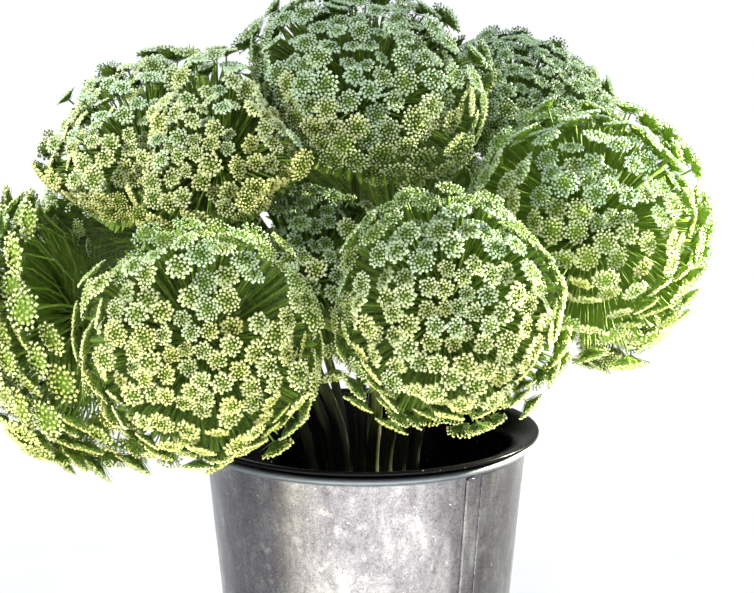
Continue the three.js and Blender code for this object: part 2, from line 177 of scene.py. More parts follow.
# Stalks, rays and thread-like bracts. The long bracts are those under a head, and the two places that
# shape one, its bend and its end, are in shares of its length.
STALK_RADIUS = 0.36 * MM
RAY_RADII = (0.8625 * MM, 0.6 * MM)  # of a ray at the hub and at its umbellet
RAY_END = 0.5 * MM  # how far a ray goes into its umbellet
BRACT_RADIUS = 0.26 * MM
BRACT_BENDS = ((0.45, 0.12), (0.95, 0.3))  # past this share of its length, a bract bends out by this share
BRACT_DROP = 0.2
BRACT_STRAY = (0, 0.4)
BRACT_RISE = (0.15, 0.65)
BRACT_LENGTHS = (0.8, 1.3)
LONG_BRACT_RADII = (0.468 * MM, 0.13 * MM)  # at the foot and at the tip
LONG_BRACT_LENGTHS = (0.45, 0.75)  # in shares of the head's radius
LONG_BRACT_BACK = 4 * MM  # how far behind the hub it starts
LONG_BRACT_BEND = 0.55  # outwards, and LONG_BRACT_LEAN backwards
LONG_BRACT_LEAN = (0.1, 0.5)
LONG_BRACT_REACH = 0.9  # outwards, and LONG_BRACT_END backwards
LONG_BRACT_END = (-0.2, 0.3)

# The knob that a head's rays spring from.
KNOB_WIDTH = 1.45  # in stem radii
KNOB_DEPTH = 1.05  # in HUB_BACK
KNOB_UNDERSIDE = -0.3  # below this share of its depth it narrows to KNOB_WAIST
KNOB_WAIST = 0.62

# The mark "petal" says what a point is: a stalk is 0, then come rays and ribs, and an open petal is 1.
RAY_PETAL = 0.05
RIB_PETAL = 0.08
MIDDLE_TONE = 0.5

FULL_TURN = (0, 2 * math.pi)
EITHER_WAY = (-1, 1)

# What a head is like, unless its own line below says otherwise.
PLAIN_HEAD = dict(
    spread=106,  # degrees: the outermost rays lean back past the side
    rim=95,  # degrees: how far the umbellets near the rim face outwards
    early=1,  # below 1, umbellets face outwards nearer to the middle of the head
    loose=1,  # how uneven its rays and umbellets are
    crowd=1,  # above 1, it has more umbellets
    mass=0.93,  # width of the close mass of inner rays, in shares of the head's radius
    bracts=40,  # long thread-like bracts under it
    painted_top_shade=0,  # painted shade: how much greener and darker its upward umbellets are, where the heads around shade its top
    green=0,  # the least mark "petal" in it, which is above 0 where the sun shines through its stalks
    thin=0,  # share of its upward umbellets that is left out
)

# Each stem and its head. Lengths and places are in mm. The stem goes from its foot on the liner's floor
# by its neck in the liner's mouth and the points in via to the hub, where the rays of the head begin.
# thick is the stem's radius at its foot, and ripe is 0 for a green-white head and 1 for a cream one.
STEMS = [
    dict(name="upper_left", hub=(-136, 16, 396), facing=(-0.6, -0.5, 0.62), radius=70, ripe=0.62, loose=1.6,
         foot=(-44, 8), neck=(-26, 6), via=[(-84, 16, 318)], thick=3.2),
    dict(name="middle_left", hub=(-86, -22, 398), facing=(-0.15, -0.8, 0.58), radius=68, ripe=0.7, loose=1.7,
         foot=(-26, 0), neck=(-14, -1), via=[(-42, 4, 320)], thick=3.2),
    dict(name="front_left", hub=(-90, -100, 307), facing=(-0.08, -0.99, 0), radius=72, ripe=0.72,
         painted_top_shade=0.2, thin=0.18, foot=(4, -46), neck=(5, -47),
         via=[(7, -66, 262), (4, -78, 290), (-13, -82, 309), (-52, -66, 314)], thick=3.7),
    dict(name="far_left", hub=(-179, -4, 303), facing=(-0.9, 0.02, -0.3), radius=91, ripe=0.6,
         spread=94, rim=40, crowd=1.6, mass=0.6, bracts=90, green=0.045,
         foot=(-54, -16), neck=(-38, -8), via=[(-96, -2, 286)], thick=3.4),
    dict(name="top", hub=(-3, 20, 428), facing=(0.15, -0.62, 0.77), radius=83, ripe=0.28, loose=1.2,
         foot=(-6, 20), neck=(-3, 13), via=[(-4, 26, 330)], thick=3.7),
    dict(name="back_right", hub=(97, 95, 414), facing=(0.15, -0.5, 0.85), radius=68, ripe=0.2,
         foot=(24, 36), neck=(17, 22), via=[(66, 66, 318)], thick=3.4),
    dict(name="right", hub=(131, -5, 355), facing=(0.25, -0.85, 0.45), radius=82, ripe=0.42,
         early=0.72, green=0.07, foot=(40, 2), neck=(26, 2), via=[(80, 10, 306)], thick=3.7),
    dict(name="far_right", hub=(155, 66, 325), facing=(0.7, -0.35, -0.1), radius=66, ripe=0.4,
         foot=(48, 22), neck=(35, 15), via=[(84, 48, 290)], thick=3.4),
    dict(name="front_right", hub=(47, -90, 323), facing=(0.1, -0.98, 0.1), radius=70, ripe=0.5,
         painted_top_shade=0.2, thin=0.15, foot=(22, -38), neck=(15, -27), via=[(40, -56, 286)], thick=3.7),
    dict(name="middle", hub=(-36, -8, 326), facing=(0.05, -0.75, 0.65), radius=72, ripe=0.45,
         loose=1.5, painted_top_shade=0.4, foot=(-18, -38), neck=(-13, -32), via=[(-30, -20, 276)], thick=3),
    dict(name="back_left", hub=(-142, 92, 338), facing=(-0.45, 0.72, 0.52), radius=82, ripe=0.35, mass=1,
         foot=(-26, 38), neck=(-18, 26), via=[(-72, 52, 285)], thick=3.4),
    dict(name="back", hub=(20, 120, 326), facing=(0.1, 0.95, 0.15), radius=90, ripe=0.35, mass=1.04,
         foot=(4, 50), neck=(3, 34), via=[(12, 68, 278)], thick=3.4),
]


def draw(index, salt):
    """A repeatable draw between 0 and 1. The salt keeps one use of it apart from the others."""
    value = math.sin(index * 12.9898 + salt * 78.233) * 43758.5453
    return value - math.floor(value)


def draw_from(span, index, salt):
    """A repeatable draw from a span of values."""
    low, high = span
    return low + (high - low) * draw(index, salt)


# Handling of pieces

def clear_selection():
    bpy.ops.object.select_all(action="DESELECT")


def take_up(*pieces):
    """Selects only these pieces, with the first one active."""
    clear_selection()
    for piece in pieces:
        piece.select_set(True)
    bpy.context.view_layer.objects.active = pieces[0]


def fresh(name):
    """Names the piece that a primitive has just made."""
    piece = bpy.context.object
    piece.name = name
    piece.data.name = name
    return piece


def select_points(piece, test):
    """In edit mode, selects the points whose place passes the test, and what they bound."""
    bpy.ops.mesh.select_mode(type="VERT")
    shape = bmesh.from_edit_mesh(piece.data)
    for point in shape.verts:
        point.select = bool(test(point.co))
    shape.select_flush_mode()
    bmesh.update_edit_mesh(piece.data)


def copy_of(source, place):
    """A copy with its own mesh, at a place given by a matrix."""
    piece = source.copy()
    piece.data = source.data.copy()
    piece.matrix_world = place
    bpy.context.scene.collection.objects.link(piece)
    return piece


def settle(piece):
    """Puts a piece's place into its mesh, so that its object sits at the origin."""
    take_up(piece)
    bpy.ops.object.transform_apply(location=True, rotation=True, scale=True)
    return piece


def joined(name, pieces):
    take_up(*pieces)
    bpy.ops.object.join()
    piece = settle(bpy.context.object)
    piece.name = name
    piece.data.name = name
    return piece


def put_away(*pieces):
    """Removes a pattern piece once its copies are made."""
    for piece in pieces:
        mesh = piece.data
        bpy.data.objects.remove(piece)
        bpy.data.meshes.remove(mesh)


def mark(piece, name, values):
    """Writes one number for each point of a mesh, for its material to read."""
    attribute = piece.data.attributes.get(name) or piece.data.attributes.new(name, "FLOAT", "POINT")
    attribute.data.foreach_set("value", np.asarray(values, np.float32))


def mark_all(piece, name, value):
    """Writes the same number for every point of a mesh."""
    mark(piece, name, np.full(len(piece.data.vertices), value))


def read_mark(piece, name):
    values = np.empty(len(piece.data.vertices), np.float32)
    piece.data.attributes[name].data.foreach_get("value", values)
    return values


def turned_to(direction, spin=0.0):
    """The turn that brings +Z to a direction, after a spin about +Z."""
    return direction.to_track_quat("Z", "Y").to_matrix().to_4x4() @ Matrix.Rotation(spin, 4, "Z")


def dress(piece, finish):
    """Gives a piece one finish all over."""
    piece.data.materials.clear()
    piece.data.materials.append(finish)


def finish_piece(piece, finish, slot, *nodes):
    """Gives a piece its finish, and lets it stand for its nodes of the part."""
    dress(piece, finish)
    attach(piece, BODY)
    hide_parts(*nodes)


# Materials

def new_finish(name, colour, roughness, **sockets):
    """A material with one shader, its plain values set on the shader itself."""
    finish = bpy.data.materials.new(name)
    finish.use_nodes = True
    shader = finish.node_tree.nodes["Principled BSDF"]
    shader.inputs["Base Color"].default_value = (*colour, 1)
    shader.inputs["Roughness"].default_value = roughness
    for socket, value in sockets.items():
        shader.inputs[socket.replace("_", " ")].default_value = value
    return finish, finish.node_tree, shader


def add_node(tree, kind, values=None, **settings):
    node = tree.nodes.new(kind)
    for setting, value in settings.items():
        setattr(node, setting, value)
    for socket, value in (values or {}).items():
        node.inputs[socket].default_value = value
    return node


def object_place(tree, stretch=(1, 1, 1)):
    """Object coordinates, stretched along the axes."""
    source = add_node(tree, "ShaderNodeTexCoord")
    mapping = add_node(tree, "ShaderNodeMapping", {"Scale": stretch})
    tree.links.new(source.outputs["Object"], mapping.inputs["Vector"])
    return mapping.outputs["Vector"]


def noise(tree, place, scale, detail=4, roughness=0.55, distortion=0.0):
    node = add_node(tree, "ShaderNodeTexNoise",
                    {"Scale": scale, "Detail": detail, "Roughness": roughness, "Distortion": distortion})
    tree.links.new(place, node.inputs["Vector"])
    return node.outputs["Fac"]


def ramp(tree, value, stops):
    """A colour ramp through (place, colour) stops."""
    node = add_node(tree, "ShaderNodeValToRGB")
    band = node.color_ramp
    while len(band.elements) < len(stops):
        band.elements.new(1.0)
    for element, (place, colour) in zip(band.elements, stops):
        element.position = place
        element.color = (*colour, 1)
    tree.links.new(value, node.inputs["Fac"])
    return node.outputs["Color"]


def grey(level):
    return (level, level, level)


def ranged(tree, value, low, high, band=(0.3, 0.7)):
    """Spreads a band of a pattern's values over a range."""
    node = add_node(tree, "ShaderNodeMapRange",
                    {"From Min": band[0], "From Max": band[1], "To Min": low, "To Max": high})
    tree.links.new(value, node.inputs["Value"])
    return node.outputs["Result"]


def mixed(tree, factor, first, second, blend="MIX"):
    """Mixes two colours. Each may be a socket or a plain colour."""
    node = add_node(tree, "ShaderNodeMix", data_type="RGBA", blend_type=blend)
    for socket, value in ((node.inputs[0], factor), (node.inputs[6], first), (node.inputs[7], second)):
        if isinstance(value, bpy.types.NodeSocket):
            tree.links.new(value, socket)
        elif isinstance(value, tuple):
            socket.default_value = (*value, 1)
        else:
            socket.default_value = value
    return node.outputs[2]


def darkened(tree, share, colour, mask):
    """Darkens a colour by a share of a mask, where the mask isn't white."""
    return mixed(tree, share, colour, mask, "MULTIPLY")


def cells(tree, place, scale, **settings):
    """A pattern of cells, as of buds or of zinc."""
    node = add_node(tree, "ShaderNodeTexVoronoi", {"Scale": scale, "Randomness": 1.0}, **settings)
    tree.links.new(place, node.inputs["Vector"])
    return node


def wandering(tree, place, scale, share):
    """A place that wanders a little, so that the edges of cells aren't straight."""
    drift = add_node(tree, "ShaderNodeTexNoise", {"Scale": scale, "Detail": 4.0})
    tree.links.new(place, drift.inputs["Vector"])
    shifted = add_node(tree, "ShaderNodeMix", {"Factor": share}, data_type="VECTOR")
    tree.links.new(place, shifted.inputs[4])
    tree.links.new(drift.outputs["Color"], shifted.inputs[5])
    return shifted.outputs[1]


def height_of(tree, place):
    axes = add_node(tree, "ShaderNodeSeparateXYZ")
    tree.links.new(place, axes.inputs["Vector"])
    return axes.outputs["Z"]


def relief(tree, shader, height, strength, depth):
    node = add_node(tree, "ShaderNodeBump", {"Strength": strength, "Distance": depth})
    tree.links.new(height, node.inputs["Height"])
    tree.links.new(node.outputs["Normal"], shader.inputs["Normal"])


def attribute_value(tree, name):
    return add_node(tree, "ShaderNodeAttribute", attribute_name=name).outputs["Fac"]


ZINC_CLOUDS = [(0.36, (0.122, 0.114, 0.128)), (0.5, (0.174, 0.17, 0.183)), (0.66, (0.27, 0.272, 0.276))]
ZINC_FLOWER = (0.40, 0.40, 0.39)
ZINC_CURLS = [(0.44, grey(0.45)), (0.5, grey(1.0)), (0.56, grey(0.7))]
ZINC_CRACKS = [(0.0, grey(0.5)), (0.06, grey(1.0))]
ZINC_STREAKS = [(0.36, (0.55, 0.52, 0.53)), (0.62, grey(1.0))]
ZINC_FLECK = (0.62, 0.62, 0.62)
BEAD_ZINC = (0.13, 0.15, 0.165)
BEAD_DULLNESS = 0.55
BEAD_LEVELS = (220.5 * MM, 222.5 * MM)  # from the wall's finish to the bead's


def galvanised_finish():
    """Zinc: cloudy patches, bright flowers of zinc, curled marks, fine cracks, streaks and a duller bead."""
    finish, tree, shader = new_finish("galvanised_steel", (0.6, 0.61, 0.63), 0.34, Metallic=0.9)
    place = object_place(tree)
    wavy = wandering(tree, place, 90.0, 0.016)
    spangle = cells(tree, wavy, 125.0)
    crackle = cells(tree, wavy, 260.0, feature="DISTANCE_TO_EDGE")
    tint = add_node(tree, "ShaderNodeSeparateColor")
    tree.links.new(spangle.outputs["Color"], tint.inputs["Color"])
    clouds = noise(tree, object_place(tree, (1, 1, 0.5)), 46.0, 8, 0.7, 0.5)
    curls = noise(tree, place, 330.0, 4, 0.62, 2.6)
    streaks = noise(tree, object_place(tree, (95, 95, 3.5)), 1.0, 5, 0.68)
    flecks = noise(tree, place, 520.0, 2, 0.5, 0.6)
    flowers = ramp(tree, spangle.outputs["Distance"], [(0.2, grey(1.0)), (0.5, grey(0.0))])
    few = ramp(tree, tint.outputs["Red"], [(0.74, grey(0.0)), (0.95, grey(0.5))])
    base = mixed(tree, darkened(tree, 1.0, flowers, few), ramp(tree, clouds, ZINC_CLOUDS), ZINC_FLOWER)
    base = darkened(tree, 0.75, base, ramp(tree, curls, ZINC_CURLS))
    base = darkened(tree, 0.7, base, ramp(tree, crackle.outputs["Distance"], ZINC_CRACKS))
    base = darkened(tree, 0.45, base, ramp(tree, streaks, ZINC_STREAKS))
    base = mixed(tree, ramp(tree, flecks, [(0.72, grey(0.0)), (0.76, grey(0.8))]), base, ZINC_FLECK)
    bead = ranged(tree, height_of(tree, place), 0, 1, BEAD_LEVELS)
    tree.links.new(mixed(tree, bead, base, BEAD_ZINC), shader.inputs["Base Color"])
    cloud_sheen = ranged(tree, clouds, 0.3, 0.22)
    cell_sheen = ranged(tree, tint.outputs["Green"], 0.16, 0.34, (0, 1))
    sheen = mixed(tree, 0.5, cloud_sheen, cell_sheen)
    tree.links.new(mixed(tree, bead, sheen, grey(BEAD_DULLNESS)), shader.inputs["Roughness"])
    relief(tree, shader, mixed(tree, 0.5, curls, spangle.outputs["Distance"]), 0.42, 0.4 * MM)
    return finish


PLASTIC_BLACK = (0.003, 0.003, 0.0035)
PLASTIC_DUST = (0.35, 0.35, 0.34)


def liner_finish():
    """Glossy black plastic with faint flow marks and a little dust."""
    finish, tree, shader = new_finish("black_plastic", PLASTIC_BLACK, 0.2, IOR=1.12)
    place = object_place(tree)
    dust = ramp(tree, noise(tree, place, 900.0, 1, 0.4), [(0.76, PLASTIC_BLACK), (0.80, PLASTIC_DUST)])
    tree.links.new(dust, shader.inputs["Base Color"])
    tree.links.new(ranged(tree, noise(tree, place, 40.0, 4), 0.12, 0.3), shader.inputs["Roughness"])
    relief(tree, shader, noise(tree, object_place(tree, (1, 1, 14)), 30.0, 3), 0.08, 0.3 * MM)
    return finish


def water_finish():
    finish, tree, shader = new_finish("still_water", (0.55, 0.68, 0.6), 0.02,
                                      IOR=1.333, Transmission_Weight=0.95)
    relief(tree, shader, noise(tree, object_place(tree), 18.0, 2), 0.03, 0.5 * MM)
    return finish


RIB_GREENS = [(0.0, (0.05, 0.10, 0.007)), (0.55, (0.11, 0.17, 0.01)), (1.0, (0.24, 0.28, 0.03))]
STEM_PATCH = (0.2, 0.22, 0.03)
STEM_FIBRE = (0.07, 0.13, 0.012)
JOINT_BROWNS = [(0.35, (0.13, 0.09, 0.03)), (0.65, (0.26, 0.21, 0.08))]
# painted shade on the stems low down: the share of their colour left at the darkest
PAINTED_STEM_SHADE = 0.08
PAINTED_SHADE_LEVELS = (240 * MM, 310 * MM)  # painted shade: a stem is darkest below the first and light above the second, where the liner and the heads shade it


def stem_finish():
    """Fresh green with paler ribs, brown at the joints, and painted shade low down, in the liner and under
    the heads.
    """
    finish, tree, shader = new_finish("fresh_stem", (0.2, 0.3, 0.03), 0.42,
                                      Specular_IOR_Level=0.45, Subsurface_Weight=0.08)
    shader.inputs["Subsurface Radius"].default_value = (0.004, 0.006, 0.001)
    place = object_place(tree)
    mottle = noise(tree, place, 110.0, 4)
    fibre = noise(tree, object_place(tree, (1, 1, 0.06)), 1400.0, 2)
    green = ramp(tree, attribute_value(tree, "rib"), RIB_GREENS)
    green = mixed(tree, ranged(tree, mottle, 0, 0.45), green, STEM_PATCH)
    green = mixed(tree, ranged(tree, fibre, 0, 0.3), green, STEM_FIBRE)
    green = mixed(tree, attribute_value(tree, "joint"), green, ramp(tree, mottle, JOINT_BROWNS))
    # painted shade: the stem's colour darkens towards its foot, where the liner and the heads shade it
    painted_shade = ranged(tree, height_of(tree, place), PAINTED_STEM_SHADE, 1, PAINTED_SHADE_LEVELS)
    tree.links.new(darkened(tree, 1.0, green, painted_shade), shader.inputs["Base Color"])
    tree.links.new(ranged(tree, mottle, 0.34, 0.55), shader.inputs["Roughness"])
    relief(tree, shader, fibre, 0.25, 0.25 * MM)
    return finish


STALK_SHADE = (0.03, 0.06, 0.006)
STALK_GREEN = (0.07, 0.13, 0.012)
RAY_GREEN = (0.15, 0.27, 0.015)
BUD_GREEN = (0.16, 0.24, 0.03)
CENTRE_GREEN = (0.14, 0.26, 0.035)
CENTRE_YELLOW = (0.31, 0.37, 0.025)
PETAL_TONES = [(0.0, (0.40, 0.54, 0.37)), (0.5, (0.52, 0.57, 0.29)), (1.0, (0.53, 0.53, 0.18))]
PETAL_PALE = (0.64, 0.69, 0.48)
RAY_BAND = (0.02, 0.09)  # of the mark "petal", where a stalk's green gives way to a ray's
CENTRE_BAND = (0.09, 0.2)
PETAL_BAND = (0.3, 0.75)


def bloom_finish():
    """One finish from stalk to petal tip: green stalks, yellow-green centres, cream to white petals."""
    finish, tree, shader = new_finish("bloom", (0.7, 0.75, 0.5), 0.62, Specular_IOR_Level=0.3)
    place = object_place(tree)
    petal = attribute_value(tree, "petal")
    tone = attribute_value(tree, "tone")
    mottle = noise(tree, place, 160.0, 3)
    stalk = mixed(tree, ranged(tree, mottle, 0, 1), STALK_SHADE, STALK_GREEN)
    stalk = mixed(tree, ranged(tree, petal, 0, 1, RAY_BAND), stalk, RAY_GREEN)
    buds = ranged(tree, cells(tree, place, 620.0).outputs["Distance"], 1, 0, (0.22, 0.4))
    stalk = mixed(tree, buds, stalk, BUD_GREEN)
    centre = mixed(tree, tone, CENTRE_GREEN, CENTRE_YELLOW)
    tips = mixed(tree, ranged(tree, mottle, 0, 0.16), ramp(tree, tone, PETAL_TONES), PETAL_PALE)
    colour = mixed(tree, ranged(tree, petal, 0, 1, CENTRE_BAND), stalk, centre)
    colour = mixed(tree, ranged(tree, petal, 0, 1, PETAL_BAND), colour, tips)
    tree.links.new(colour, shader.inputs["Base Color"])
    return finish


GALVANISED = galvanised_finish()
BLACK_PLASTIC = liner_finish()
WATER = water_finish()
STEM_GREEN = stem_finish()
BLOOM = bloom_finish()


# Bucket and liner

def drawn_up(name, profile):
    """A ring drawn along a profile of radius and height, closed at both ends."""
    radius, height = profile[0]
    clear_selection()
    bpy.ops.mesh.primitive_circle_add(vertices=ROUND_SIDES, radius=radius, location=(0, 0, height))
    piece = settle(fresh(name))
    bpy.ops.object.mode_set(mode="EDIT")
    bpy.ops.mesh.select_all(action="SELECT")
    for next_radius, next_height in profile[1:]:
        rise = (0, 0, next_height - height)
        bpy.ops.mesh.extrude_edges_move(TRANSFORM_OT_translate={"value": rise})
        bpy.ops.transform.resize(value=(next_radius / radius, next_radius / radius, 1),
                                 center_override=(0, 0, next_height))
        radius, height = next_radius, next_height
    bpy.ops.mesh.select_all(action="DESELECT")
    bpy.ops.mesh.select_non_manifold(extend=False, use_boundary=True, use_wire=False,
                                     use_multi_face=False, use_non_contiguous=False, use_verts=False)
    bpy.ops.mesh.fill_holes(sides=0)
    bpy.ops.mesh.select_all(action="SELECT")
    bpy.ops.mesh.normals_make_consistent(inside=False)
    bpy.ops.object.mode_set(mode="OBJECT")
    bpy.ops.object.shade_smooth_by_angle(angle=math.radians(40))
    return piece


def wall_radius(height):
    return FOOT_RADIUS + WALL_TAPER * height


def arc(centre, radius, start, end, steps):
    """Points of a round stretch in a profile, angles in degrees."""
    angles = [math.radians(start + (end - start) * step / steps) for step in range(steps + 1)]
    return [(centre[0] + radius * math.cos(a), centre[1] + radius * math.sin(a)) for a in angles]


def bucket_wall():
    """The wall and floor, drawn up the outside, round the rolled bead and down the inside."""
    top = wall_radius(WALL_TOP)
    half = BEAD_REACH / 2
    roll_middle = (top + half * ROLL_OUT, WALL_TOP + BEAD_HEIGHT / 2 - ROLL_DROP)
    profile = [(FOOT_RADIUS - FOOT_FLAT, 0), (FOOT_RADIUS - FOOT_ROUND, 0), (FOOT_RADIUS, FOOT_ROUND)]
    profile += [(wall_radius(level * MM), level * MM) for level in WALL_LEVELS]
    profile += [(top, WALL_TOP - BEAD_START)]
    profile += arc(roll_middle, half * ROLL_RADIUS, -ROLL_TURN, ROLL_TURN, ROLL_STEPS)
    profile += [(top - STEEL / 3, WALL_TOP + BEAD_FOLD * BEAD_HEIGHT), (top - STEEL, WALL_TOP),
                (wall_radius(STEEL) - STEEL, STEEL), (FLOOR_MIDDLE, STEEL)]
    return drawn_up("bucket_wall", profile)


def side_seam(name, angle, width, rise, rounding):
    """A strip of the folded side seam, up the wall, with rounded edges."""
    clear_selection()
    bpy.ops.mesh.primitive_cube_add(size=1)
    piece = fresh(name)
    low, high = SEAM_FOOT, WALL_TOP - SEAM_HEAD
    lean = math.atan(WALL_TAPER)
    piece.scale = (rise + SEAM_SUNK, width, (high - low) / math.cos(lean))
    settle(piece)
    bpy.ops.object.mode_set(mode="EDIT")
    bpy.ops.mesh.select_all(action="SELECT")
    bpy.ops.mesh.bevel(offset=rounding, segments=4)
    bpy.ops.object.mode_set(mode="OBJECT")
    middle = (low + high) / 2
    centre = wall_radius(middle) + (rise - SEAM_SUNK) / 2
    piece.matrix_world = (Matrix.Rotation(angle, 4, "Z") @ Matrix.Translation((centre, 0, middle))
                          @ Matrix.Rotation(lean, 4, "Y"))
    settle(piece)
    bpy.ops.object.shade_smooth_by_angle(angle=math.radians(50))
    return piece


def make_bucket():
    seam = side_seam("seam_fold", SEAM_ANGLE, SEAM_WIDTH, SEAM_RAISE, SEAM_ROUND)
    edge = side_seam("seam_edge", SEAM_EDGE_ANGLE, SEAM_EDGE_WIDTH, SEAM_EDGE_RAISE, SEAM_EDGE_ROUND)
    piece = joined("bucket_steel", [bucket_wall(), seam, edge])
    finish_piece(piece, GALVANISED, "steel", "bucket")


def make_liner():
    """The liner, drawn up its outside, over its lip and down its inside."""
    bead_top = WALL_TOP + BEAD_HEIGHT + GAP
    bead_inner = wall_radius(WALL_TOP) + BEAD_REACH - BEAD_ROUND
    profile = [(FLOOR_MIDDLE, LINER_FLOOR), (LINER_FOOT_RADIUS - FOOT_ROUND, LINER_FLOOR),
               (LINER_FOOT_RADIUS, LINER_FLOOR + FOOT_ROUND), (THROAT_RADIUS, THROAT_HEIGHT),
               (bead_inner, bead_top), (LIP_RADIUS - PLASTIC, LIP_HEIGHT - LIP_TURN),
               (LIP_RADIUS - LIP_CHAMFER, LIP_HEIGHT - LIP_TURN)]
    profile += arc((LIP_RADIUS - LIP_ROUND, LIP_HEIGHT - LIP_ROUND), LIP_ROUND, 0, 90, LIP_STEPS)
    profile += [(THROAT_RADIUS + out * MM, LIP_HEIGHT - down * MM) for out, down in LIP_INSIDE]
    profile += [(THROAT_RADIUS - PLASTIC / 3, THROAT_HEIGHT + THROAT_ROUND),
                (THROAT_RADIUS - PLASTIC, THROAT_HEIGHT - THROAT_FALL),
                (LINER_FOOT_RADIUS - PLASTIC, LINER_FLOOR + PLASTIC), (FLOOR_MIDDLE, LINER_FLOOR + PLASTIC)]
    piece = drawn_up("liner_plastic", profile)
    finish_piece(piece, BLACK_PLASTIC, "plastic", "liner")


def dress_water():
    """The water keeps its part node, with a clear finish."""
    dress(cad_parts["water"], WATER)


# Stems

def centripetal(points):
    """A smooth curve through points, with its knots spaced by the square root of their distances."""
    ends = [points[0] * 2 - points[1], *points, points[-1] * 2 - points[-2]]
    curve = []
    for a, b, c, d in zip(ends, ends[1:], ends[2:], ends[3:]):
        ta = 0.0
        tb = ta + math.sqrt((b - a).length)
        tc = tb + math.sqrt((c - b).length)
        td = tc + math.sqrt((d - c).length)
        for step in range(CURVE_STEPS):
            t = tb + (tc - tb) * step / CURVE_STEPS
            ab = a.lerp(b, (t - ta) / (tb - ta))
            bc = b.lerp(c, (t - tb) / (tc - tb))
            cd = c.lerp(d, (t - tc) / (td - tc))
            first = ab.lerp(bc, (t - ta) / (tc - ta))
            second = bc.lerp(cd, (t - tb) / (td - tb))
            curve.append(first.lerp(second, (t - tb) / (tc - tb)))
    return curve + [points[-1]]


def spaced(curve, count):
    """Points at even steps along a curve."""
    lengths = [0.0]
    for a, b in zip(curve, curve[1:]):
        lengths.append(lengths[-1] + (b - a).length)
    places = np.linspace(0, lengths[-1], count)
    flat = np.array([tuple(point) for point in curve])
    even = [np.interp(places, lengths, flat[:, axis]) for axis in range(3)]
    return [Vector(place) for place in zip(*even)]


def stem_route(stem):
    foot = Vector((*stem["foot"], 0)) * MM + UP * (LINER_FLOOR + PLASTIC + FOOT_CLEARANCE)
    neck = Vector((*stem["neck"], 0)) * MM + UP * MOUTH_HEIGHT
    via = [Vector(point) * MM for point in stem["via"]]
    hub = Vector(stem["hub"]) * MM
    facing = Vector(stem["facing"]).normalized()
    before = hub - facing * (HUB_BACK + HUB_RUN)
    return centripetal([foot, neck, *via, before, hub - facing * HUB_BACK])


STEM_RINGS = 60
STEM_RIBS = 9
RIB_DEPTH = 0.09
JOINT_PLACES = (0.34, 0.56, 0.8)
JOINT_LENGTH = 0.012
JOINT_SHIFT = (-0.025, 0.025)
JOINT_GREEN = 0.2  # swelling up to which a joint stays green


def rib_outline():
    """The ribbed section of a stem, one unit in radius."""
    clear_selection()
    bpy.ops.curve.primitive_bezier_circle_add(radius=1)
    outline = bpy.context.object
    outline.name = "rib_outline"
    outline.data.splines.clear()
    line = outline.data.splines.new("POLY")
    count = STEM_RIBS * 2
    line.points.add(count - 1)
    for index, point in enumerate(line.points):
        angle = 2 * math.pi * index / count
        radius = 1 - RIB_DEPTH * (0.5 - 0.5 * math.cos(STEM_RIBS * angle))
        point.co = (radius * math.cos(angle), radius * math.sin(angle), 0, 1)
    line.use_cyclic_u = True
    return outline


def swell(along, index):
    """How far a stem is swollen: 1 in the middle of a joint, and 0 away from the joints."""
    swollen = 0.0
    for number, place in enumerate(JOINT_PLACES):
        centre = place + draw_from(JOINT_SHIFT, index, 40 + number)
        swollen = max(swollen, math.exp(-((along - centre) / JOINT_LENGTH) ** 2))
    return swollen


def stem_radius(thick, along, swollen):
    """A stem's radius at a share of its length."""
    return thick * (1 - STEM_THINNING * along) * (1 + (NODE_SWELL - 1) * swollen)


def make_stem(stem, index, outline):
    route = spaced(stem_route(stem), STEM_RINGS)
    clear_selection()
    bpy.ops.curve.primitive_bezier_curve_add()
    piece = bpy.context.object
    curve = piece.data
    curve.splines.clear()
    line = curve.splines.new("POLY")
    line.points.add(len(route) - 1)
    thick = stem["thick"] * MM
    for number, (point, place) in enumerate(zip(line.points, route)):
        along = number / (STEM_RINGS - 1)
        point.co = (*place, 1)
        point.radius = stem_radius(thick, along, swell(along, index))
    curve.dimensions = "3D"
    curve.twist_mode = "MINIMUM"
    curve.bevel_mode = "OBJECT"
    curve.bevel_object = outline
    curve.use_fill_caps = True
    take_up(piece)
    bpy.ops.object.convert(target="MESH")
    piece = settle(fresh("stem_" + stem["name"] + "_green"))
    mark_stem(piece, route, thick, index)
    take_up(piece)
    bpy.ops.object.mode_set(mode="EDIT")
    bpy.ops.mesh.select_all(action="SELECT")
    bpy.ops.mesh.remove_doubles(threshold=0.01 * MM)
    bpy.ops.mesh.normals_make_consistent(inside=False)
    bpy.ops.object.mode_set(mode="OBJECT")
    bpy.ops.object.shade_smooth_by_angle(angle=math.radians(60))
    finish_piece(piece, STEM_GREEN, "stem", "stem_" + stem["name"])


def mark_stem(piece, route, thick, index):
    """Marks the crests of the ribs and the joints, for the stem's finish."""
    line = np.array([tuple(point) for point in route])
    places = np.array([tuple(point.co) for point in piece.data.vertices])
    nearest = np.linalg.norm(places[:, None, :] - line[None, :, :], axis=2)
    ring = nearest.argmin(axis=1)
    along = ring / (STEM_RINGS - 1)
    swollen = np.array([swell(a, index) for a in along])
    rib = (nearest.min(axis=1) / stem_radius(thick, along, swollen) - (1 - RIB_DEPTH)) / RIB_DEPTH
    mark(piece, "rib", np.clip(rib, 0, 1))
    mark(piece, "joint", np.clip(swollen * (1 + JOINT_GREEN) - JOINT_GREEN, 0, 1))


# Florets and umbellets

def floret_pattern():
    """One floret: a small four-sided knob, flat underneath."""
    clear_selection()
    bpy.ops.mesh.primitive_cone_add(vertices=4, radius1=FLORET_RADIUS, radius2=0, depth=FLORET_RISE,
                                    location=(0, 0, FLORET_RISE / 2), end_fill_type="NGON")
    piece = settle(fresh("floret_pattern"))
    bpy.ops.object.mode_set(mode="EDIT")
    select_points(piece, lambda co: co.z < FLORET_RISE / 2)
    bpy.ops.transform.translate(value=(0, 0, -FLORET_FOOT * FLORET_RISE))
    bpy.ops.object.mode_set(mode="OBJECT")
    mark_all(piece, "petal", 1)
    return piece


